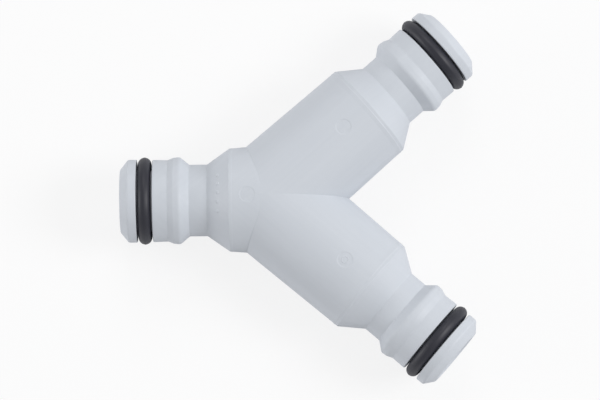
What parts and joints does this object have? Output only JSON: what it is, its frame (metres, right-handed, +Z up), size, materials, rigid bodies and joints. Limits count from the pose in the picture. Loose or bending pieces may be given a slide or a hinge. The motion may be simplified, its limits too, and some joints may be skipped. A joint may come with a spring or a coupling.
{
  "type": "garden hose y connector",
  "caption": "Y-shaped moulded joiner for garden hoses with snap-in spigots, each with a rubber seal ring in its groove.",
  "frame": {"origin": "under the middle of the part's bounding box, on the surface that it lies on", "axes": "+X from the inlet towards the two outlets, +Y towards the left outlet, +Z up"},
  "size_m": [0.0692, 0.0728, 0.0212],
  "materials": {
    "moulded_plastic": "satin",
    "seal_rubber": "matte"
  },
  "bodies": {
    "root": {"connector_body": "moulded_plastic", "inlet_seal_ring": "seal_rubber", "left_outlet_seal_ring": "seal_rubber", "right_outlet_seal_ring": "seal_rubber"}
  },
  "joints": []
}
